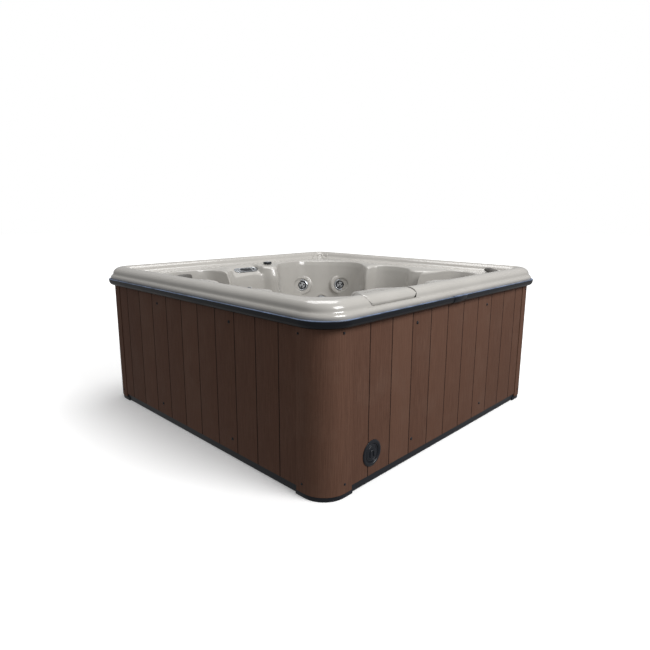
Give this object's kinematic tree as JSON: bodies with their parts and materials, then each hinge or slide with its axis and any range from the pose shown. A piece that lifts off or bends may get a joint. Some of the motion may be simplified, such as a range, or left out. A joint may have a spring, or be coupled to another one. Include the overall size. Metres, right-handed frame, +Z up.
{
  "type": "hot tub",
  "caption": "Square acrylic hot tub in a brown plank cabinet with black edge trim and base, filter lid, controls, jets, pillows, drain, and its pump, heater and pipes inside.",
  "frame": {"origin": "centre of the base on the ground", "axes": "+Z up, -Y towards the front panel with the drain, +X towards the right panel"},
  "size_m": [2.134, 2.138, 0.914],
  "materials": {
    "acrylic": "glossy acrylic with a soft pearl",
    "cabinet_brown": "embossed wood-grain synthetic plank, satin",
    "black_plastic": "satin black moulding",
    "pillow_charcoal": "closed-cell foam with a fine skin",
    "timber": "sawn softwood",
    "grey_plastic": "satin moulding",
    "stainless": "polished stainless",
    "white_pvc": "plain moulded PVC",
    "filter_fabric": "pleated spun fabric",
    "clear_lens": "clear moulded lens",
    "display_black": "dark gloss window"
  },
  "bodies": {
    "tub": {"bottom_rail_front": "timber", "top_rail_front": "timber", "side_panel_front": "cabinet_brown", "bottom_rail_right": "timber", "top_rail_right": "timber", "side_panel_right": "cabinet_brown", "bottom_rail_back": "timber", "top_rail_back": "timber", "side_panel_back": "cabinet_brown", "bottom_rail_left": "timber", "top_rail_left": "timber", "side_panel_left": "cabinet_brown", "corner_post_front_left": "timber", "corner_panel_front_left": "cabinet_brown", "corner_post_front_right": "timber", "corner_panel_front_right": "cabinet_brown", "corner_post_back_left": "timber", "corner_panel_back_left": "cabinet_brown", "corner_post_back_right": "timber", "corner_panel_back_right": "cabinet_brown", "base_pan": "black_plastic", "trim_left_half": "black_plastic", "trim_right_half": "black_plastic", "trim_joiner_front": "black_plastic", "trim_joiner_back": "black_plastic", "drain_flange": "black_plastic", "pump_wet_end": "black_plastic", "pump_motor": "black_plastic", "cable_gland": "black_plastic", "shell": "acrylic", "filter_housing": "white_pvc", "diverter_valve": "white_pvc", "air_valve": "white_pvc", "suction_pipe": "white_pvc", "pressure_pipe": "white_pvc", "filter_cartridge": "filter_fabric", "control_panel_bezel": "grey_plastic", "suction_cover_left": "grey_plastic", "suction_cover_right": "grey_plastic", "control_box": "grey_plastic", "control_panel_display": "display_black", "jet_body_left": "stainless", "jet_body_right": "stainless", "jet_body_lower": "stainless", "heater": "stainless", "light_lens": "clear_lens", "pillow_left": "pillow_charcoal", "pillow_right": "pillow_charcoal"},
    "filter_lid": {"filter_lid": "acrylic"},
    "skimmer_weir": {"skimmer_weir": "white_pvc"},
    "button_1": {"control_button_1": "grey_plastic"},
    "button_2": {"control_button_2": "grey_plastic"},
    "button_3": {"control_button_3": "grey_plastic"},
    "diverter_knob": {"diverter_knob": "black_plastic"},
    "air_control_knob": {"air_control_knob": "grey_plastic"},
    "nozzle_left": {"jet_nozzle_left": "grey_plastic"},
    "nozzle_right": {"jet_nozzle_right": "grey_plastic"},
    "nozzle_lower": {"jet_nozzle_lower": "grey_plastic"},
    "drain_cap": {"drain_cap": "black_plastic"},
    "impeller": {"pump_impeller": "grey_plastic"}
  },
  "joints": [
    {"name": "filter_lid_lift", "type": "slide", "parent": "tub", "child": "filter_lid", "axis": [0, 0, 1], "range_m": [0, 0.15]},
    {"name": "skimmer_weir_hinge", "type": "hinge", "parent": "tub", "child": "skimmer_weir", "pos_m": [-0.57, -0.7935, 0.785], "axis": [1, 0, 0], "range_deg": [0, 60]},
    {"name": "button_1_press", "type": "slide", "parent": "tub", "child": "button_1", "axis": [0, 0.3971, -0.9178], "range_m": [0, 0.0015], "stiffness_N_per_m": 400},
    {"name": "button_2_press", "type": "slide", "parent": "tub", "child": "button_2", "axis": [0, 0.3971, -0.9178], "range_m": [0, 0.0015], "stiffness_N_per_m": 400},
    {"name": "button_3_press", "type": "slide", "parent": "tub", "child": "button_3", "axis": [0, 0.3971, -0.9178], "range_m": [0, 0.0015], "stiffness_N_per_m": 400},
    {"name": "diverter_turn", "type": "hinge", "parent": "tub", "child": "diverter_knob", "pos_m": [0.15, 0.752, 0.87], "axis": [0, 0, 1], "range_deg": [-90, 90]},
    {"name": "air_control_turn", "type": "hinge", "parent": "tub", "child": "air_control_knob", "pos_m": [-0.846, -0.3, 0.87], "axis": [0, 0, 1], "range_deg": [0, 90]},
    {"name": "jet_left_spin", "type": "hinge", "parent": "tub", "child": "nozzle_left", "pos_m": [0.527, 0.747, 0.66], "axis": [-0.6917, -0.6917, 0.2075], "continuous": true},
    {"name": "jet_right_spin", "type": "hinge", "parent": "tub", "child": "nozzle_right", "pos_m": [0.748, 0.505, 0.666], "axis": [-0.6917, -0.6917, 0.2075], "continuous": true},
    {"name": "jet_lower_spin", "type": "hinge", "parent": "tub", "child": "nozzle_lower", "pos_m": [0.644, 0.627, 0.519], "axis": [-0.6917, -0.6917, 0.2075], "continuous": true},
    {"name": "drain_cap_turn", "type": "hinge", "parent": "tub", "child": "drain_cap", "pos_m": [-0.707, -1.0285, 0.156], "axis": [0, -1, 0], "range_deg": [0, 90]},
    {"name": "impeller_spin", "type": "hinge", "parent": "tub", "child": "impeller", "pos_m": [0.25, 0.76, 0.152], "axis": [1, 0, 0], "continuous": true}
  ]
}
